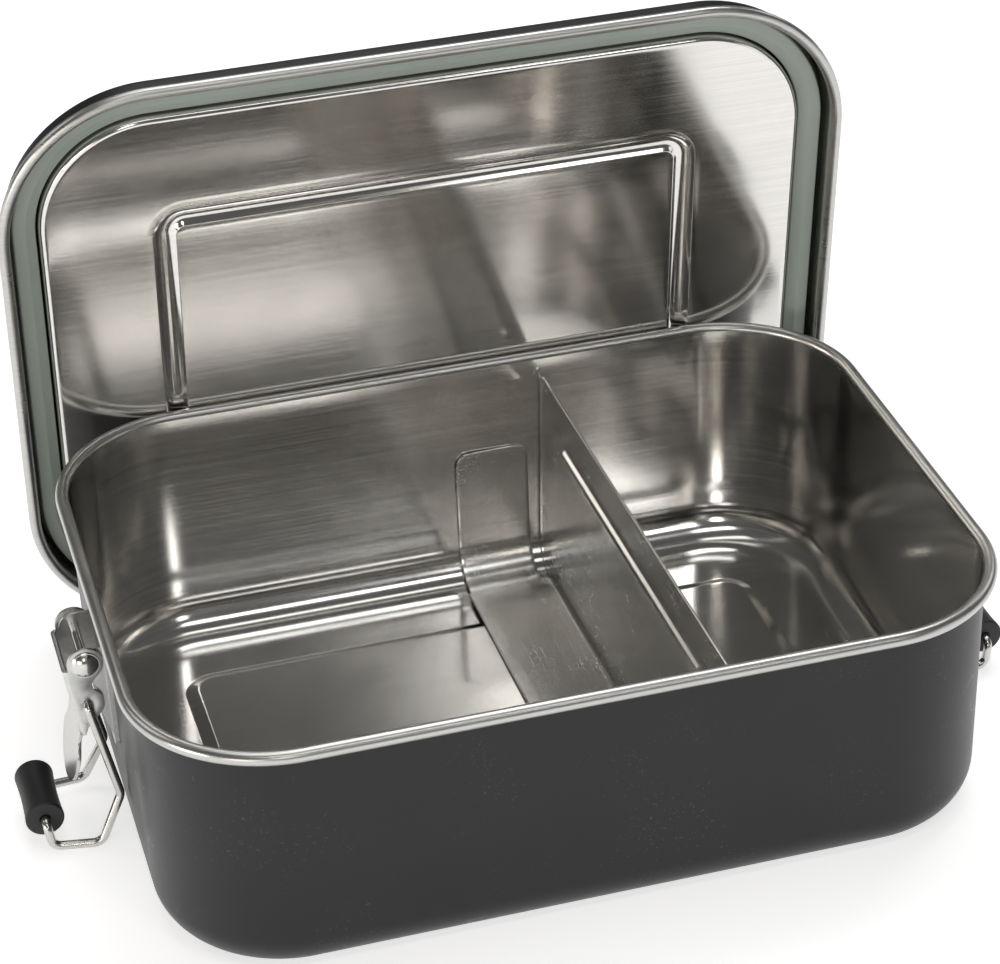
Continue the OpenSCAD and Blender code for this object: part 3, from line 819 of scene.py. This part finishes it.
def makeRoller(side, sign):
    s = roller
    half, r, edge, cut = s["length"] / 2, s["radius"], s["edge"], s["boreCut"]
    run = [(s["bore"], -half + cut), (s["bore"] + cut, -half)]
    run += arcPoints((r - edge, -half + edge), edge, -90, 0, s["edgeSteps"])
    for i in range(1, s["waistSteps"]):
        t = 2 * i / s["waistSteps"] - 1
        run.append((r - s["waist"] * (1 - t * t), t * (half - edge)))
    run += arcPoints((r - edge, half - edge), edge, 0, 90, s["edgeSteps"])
    run += [(s["bore"] + cut, half), (s["bore"], half - cut)]
    place = (sign * s["place"][0], 0, s["place"][1])
    piece = latheY(side + "Roller", run, place, rollerRubber, s["steps"])
    placePiece(piece, side + "_roller")


pin = {"shank": 1.1, "head": 3.3, "edge": 0.3, "dome": 1.3, "at": 9.1,
       "domeIn": 0.25, "faceIn": 0.2, "underCut": 0.1, "rimCut": 0.08,
       "domeSteps": 12}


def makePin(side, sign):
    s = pin
    head, domeHalf = s["head"], s["head"] - s["domeIn"]
    r = domeHalf ** 2 / (2 * s["dome"]) + s["dome"] / 2
    lean = math.degrees(math.asin(domeHalf / r))
    flat = s["at"] + s["edge"]
    dome = arcPoints((0, flat + s["dome"] - r), r, 90 - lean, 90, s["domeSteps"])
    dome[-1] = (0, flat + s["dome"])
    half = [(s["shank"], s["at"]), (head - s["underCut"], s["at"]), (head, s["at"] + s["underCut"]),
            (head, flat - s["rimCut"]), (head - s["rimCut"], flat), (head - s["faceIn"], flat), *dome]
    run = [(x, -y) for x, y in reversed(half)] + half
    u0, z0 = latch["pivot"]
    piece = latheY(side + "Pin", run, (sign * u0, 0, z0), rivetSteel)
    placePiece(piece, side + "_pivot_pin")


bracket = {"edge": 0.12, "segments": 2, "edgeAngle": 40, "smoothAngle": 30, "flatAngle": 1, "weld": 2e-6}


def makeBracket(side):
    # copy of the CAD node with its loose triangles joined and its edges rounded
    s, node = bracket, side + "_bracket"
    mesh = frame["nodes"][node].data.copy()
    mesh.name = side + "Bracket"
    bm = bmesh.new()
    bm.from_mesh(mesh)
    bmesh.ops.remove_doubles(bm, verts=bm.verts, dist=s["weld"])
    flat = math.radians(s["flatAngle"])
    bmesh.ops.dissolve_limit(bm, angle_limit=flat, verts=bm.verts, edges=bm.edges)
    bm.to_mesh(mesh)
    bm.free()
    if mesh.has_custom_normals:
        mesh.attributes.remove(mesh.attributes["custom_normal"])
    mesh.materials.clear()
    mesh.materials.append(leverSteel)
    smoothByAngle(mesh, s["smoothAngle"])
    piece = newPiece(side + "Bracket", mesh)
    bevelEdges(piece, s["edge"], s["segments"], s["edgeAngle"]).harden_normals = True
    placePiece(piece, node)


lever = {"sheet": 0.8, "cheek": 8.6, "bend": 0.9, "edge": 0.14, "webTop": (4.90, -1.25),
         "webFoot": (2.50, -19.15), "webSteps": 8, "bendSteps": 6, "webStep": 2,
         "boss": 4.1, "bossArc": (8, 222), "neck": (-0.9, -5.1), "neckRound": 1.1, "lobe": 4,
         "lobeAt": (0.6, -10.8), "lobeArc": (118, 230), "heel": (0.9, -17.0),
         "pinHole": 1.18, "wireHole": 1.13, "bossSteps": 40, "lobeSteps": 24, "holeSteps": 24,
         "tabTip": (6.0, -35.1), "neckHalf": 7.0, "neckAt": 2.6, "tabHalf": 9.3,
         "tabStep": 0.8, "tipStep": 0.15, "tipLength": 1.2, "tabColumns": 8}


def fillOutline(bm, loops, toPoint):
    # flat sheet inside the first loop, with the others as holes
    edges = []
    for loop in loops:
        verts = [bm.verts.new(toPoint(p)) for p in loop]
        edges += [bm.edges.new((verts[i - 1], verts[i])) for i in range(len(verts))]
    bmesh.ops.triangle_fill(bm, use_beauty=True, edges=edges)


def easeShare(t):
    return (1 - math.cos(math.pi * t)) / 2


def tabWidth(t, length, start):
    # half width of the finger tab at a distance from its root: neck, flare, round end
    s = lever
    half, neck = s["tabHalf"], s["neckHalf"]
    if t < s["neckAt"]:
        return start + (neck - start) * easeShare(t / s["neckAt"])
    if t < length - half:
        return neck + (half - neck) * easeShare((t - s["neckAt"]) / (length - half - s["neckAt"]))
    return math.sqrt(max(0.01, half ** 2 - (t - length + half) ** 2))


def makeLever(side, sign):
    s = lever
    u0, z0 = latch["pivot"]
    bend, cheek = s["bend"], s["cheek"]
    top, foot = Vector(s["webTop"]), Vector(s["webFoot"])
    inward = Vector((foot.y - top.y, top.x - foot.x)).normalized()

    def place(u, y, w):
        return (sign * (u0 + u), y, z0 + w)

    bm = bmesh.new()
    # web and its two bends
    turns = [math.radians(90 * i / s["bendSteps"]) for i in range(s["bendSteps"], -1, -1)]
    section = [(cheek - bend + bend * math.sin(a), bend * (1 - math.cos(a))) for a in turns]
    flat = [(y, 0) for y in spread(section[-1][0], -section[-1][0], s["webStep"])[1:-1]]
    section += flat + [(-y, o) for y, o in reversed(section)]
    steps = [top.lerp(foot, i / s["webSteps"]) for i in range(s["webSteps"] + 1)]
    gridSheet(bm, [[place(p.x + inward.x * o, y, p.y + inward.y * o) for y, o in section]
                   for p in steps])
    # cheeks
    edge = [tuple(p + inward * bend) for p in steps]
    boss = arcPoints((0, 0), s["boss"], *s["bossArc"], s["bossSteps"])
    lobe = arcPoints(s["lobeAt"], s["lobe"], *s["lobeArc"], s["lobeSteps"])
    neck = roundCorner(boss[-1], s["neck"], lobe[0], s["neckRound"])
    outline = [*boss, *neck, *lobe, s["heel"], *reversed(edge)]
    holes = [ringPoints((0, 0), s["pinHole"], s["holeSteps"]),
             ringPoints(s["lobeAt"], s["wireHole"], s["holeSteps"])]
    for y in (-cheek, cheek):
        fillOutline(bm, [outline, *holes], lambda p: Vector(place(p[0], y, p[1])) * mm)
    # finger tab
    tip = Vector(s["tabTip"])
    length = (tip - foot).length
    tipStart, columns = length - s["tipLength"], s["tabColumns"]
    rows = []
    for t in [*spread(0, tipStart, s["tabStep"]), *spread(tipStart, length, s["tipStep"])[1:]]:
        wide = tabWidth(t, length, cheek - bend)
        p = foot.lerp(tip, t / length)
        rows.append([place(p.x, wide * (1 - 2 * i / columns), p.y) for i in range(columns + 1)])
    gridSheet(bm, rows)
    piece = sheetPiece(side + "Lever", bm, s, leverSteel)
    placePiece(piece, side + "_lever")


for side, sign in (("left", -1), ("right", 1)):
    makeBail(side, sign)
    makeRoller(side, sign)
    makePin(side, sign)
    makeLever(side, sign)
    makeBracket(side)
    print(side, "latch ready")


divider = {"x": 27, "top": 57.1, "lean": 1.5, "turn": 0.9, "low": 1.95, "sheet": 0.6, "gap": 0.4,
           "corner": 2.5, "beadHigh": 44.8, "beadHalf": 51.3, "beadWide": 2.4, "beadDeep": 1.15,
           "footEnd": 4.3, "footHalf": 59.82, "footBend": 1.7, "edge": 0.1,
           "tongueX": 14.5, "tongueHalf": 9.5, "tongueTop": 37.6, "tongueRound": 4, "tongueBend": 9.7,
           "tongueGap": 0.6}
# spacing of the divider's mesh, in mm, and its numbers of steps: coarse on flats, fine at bends
dividerGrid = {"tall": 3, "bead": 0.25, "aboveBead": 2, "corner": 0.3, "low": 0.4, "wide": 3.5,
               "beadEnd": 0.3, "beadLead": 2.5, "beadTail": 0.4, "side": 3, "across": 1.2,
               "tongueTip": 0.4, "bendSteps": 8, "tongueSteps": 14, "endColumns": 4}


def wallHalf(z, gap):
    # half width of the box's inside at a height, less a gap
    b = box
    bend = b["bend"] - b["sheet"]
    if z < b["bend"]:
        drop = b["bend"] - z
        reach = math.sqrt(max(0, (bend - gap) ** 2 - drop ** 2))
        return b["halfWidth"] + b["wallFoot"] - b["bend"] + reach
    slope = (b["wallTop"] - b["wallFoot"]) / (b["rimHigh"] - b["bend"])
    return b["halfWidth"] + b["wallFoot"] - b["sheet"] + slope * (z - b["bend"]) - gap


def beadOffset(y, z):
    # how far the pressed bead stands out of the plate
    d = divider
    over = max(0, abs(y) - d["beadHalf"] + d["beadWide"])
    reach = math.hypot(over, z - d["beadHigh"]) / d["beadWide"]
    return d["beadDeep"] * (1 + math.cos(math.pi * min(1, reach))) / 2


def addPlate(bm, columns, centre):
    # upright plate, turned about the middle of its bend
    d, g = divider, dividerGrid
    lean = math.radians(d["lean"])
    foot, plateFoot, cornerStart = d["footHalf"], centre[1], d["top"] - d["corner"]
    beadLow, beadTop = d["beadHigh"] - d["beadWide"], d["beadHigh"] + d["beadWide"]
    levels = [*spread(plateFoot, beadLow, g["tall"]), *spread(beadLow, beadTop, g["bead"])[1:],
              *spread(beadTop, cornerStart, g["aboveBead"])[1:],
              *spread(cornerStart, d["top"], g["corner"])[1:]]

    def leaned(x, y, z):
        x, z = x - centre[0], z - centre[1]
        return (centre[0] + x * math.cos(lean) + z * math.sin(lean), y,
                centre[1] + z * math.cos(lean) - x * math.sin(lean))

    def sideReach(z):
        # the plate's edge near the wall, with its top corners rounded
        rise = z - cornerStart
        cut = d["corner"] - math.sqrt(max(0, d["corner"] ** 2 - rise ** 2)) if rise > 0 else 0
        return wallHalf(z, d["gap"]) - cut

    gridSheet(bm, [[leaned(d["x"] - beadOffset(y, z), y, z) for y in columns] for z in levels])
    # the ends reach lower than the bend, towards the wall
    levels = [*spread(d["low"], plateFoot, g["low"])[:-1], *levels]
    shares = [i / g["endColumns"] for i in range(g["endColumns"] + 1)]
    for side in (-1, 1):
        gridSheet(bm, [[leaned(d["x"], side * (foot + (sideReach(z) - foot) * t), z) for t in shares]
                       for z in levels])


def addFoot(bm, columns, centre, across):
    # flat strip on the floor and the bend that joins it to the plate
    d = divider
    strip = [(x, d["low"]) for x in across]
    strip += arcPoints(centre, d["footBend"], -90, -d["lean"], dividerGrid["bendSteps"])
    gridSheet(bm, [[(x, y, z) for y in columns] for x, z in strip])


def addTongues(bm, count):
    # spring tongues that rise from the foot's ends along the walls
    d, g = divider, dividerGrid
    foot, rise, half = d["footHalf"], d["tongueBend"], d["tongueHalf"]
    top, turn = d["tongueTop"], d["tongueRound"]
    bendTop = d["low"] + rise
    faceAt = wallHalf(bendTop, d["tongueGap"])
    run = [(y, z, half) for y, z in arcPoints((foot, bendTop), rise, -90, 0, g["tongueSteps"])]
    straight, tip = spread(bendTop, top - turn, g["tall"]), spread(top - turn, top, g["tongueTip"])
    for z in straight[1:] + tip[1:]:
        over = max(0, z - top + turn)
        wide = half - turn + math.sqrt(max(0, turn ** 2 - over ** 2))
        run.append((foot + rise + wallHalf(z, d["tongueGap"]) - faceAt, z, wide))
    for side in (-1, 1):
        gridSheet(bm, [[(d["tongueX"] + w * (2 * i / count - 1), side * y, z) for i in range(count + 1)]
                       for y, z, w in run])


def makeDivider():
    d, g = divider, dividerGrid
    bm = bmesh.new()
    centre = (d["x"] - d["footBend"], d["low"] + d["footBend"])
    # the plate and the foot share their columns, so that they meet point to point
    lead, tail = d["beadHalf"] - g["beadLead"], d["beadHalf"] + g["beadTail"]
    columns = [*spread(0, lead, g["wide"]), *spread(lead, tail, g["beadEnd"])[1:],
               *spread(tail, d["footHalf"], g["side"])[1:]]
    columns = [-y for y in reversed(columns[1:])] + columns
    tongueStart, tongueStop = d["tongueX"] - d["tongueHalf"], d["tongueX"] + d["tongueHalf"]
    across = spread(tongueStart, tongueStop, g["across"])
    addPlate(bm, columns, centre)
    addFoot(bm, columns, centre, [d["footEnd"], *across])
    addTongues(bm, len(across) - 1)
    middle = Matrix.Translation((d["tongueX"] * mm, 0, 0))
    bm.transform(middle @ Matrix.Rotation(math.radians(d["turn"]), 4, "Z") @ middle.inverted())
    piece = sheetPiece("dividerPlate", bm, d, dividerSteel)
    placePiece(piece, "divider")


makeDivider()
print("divider ready")
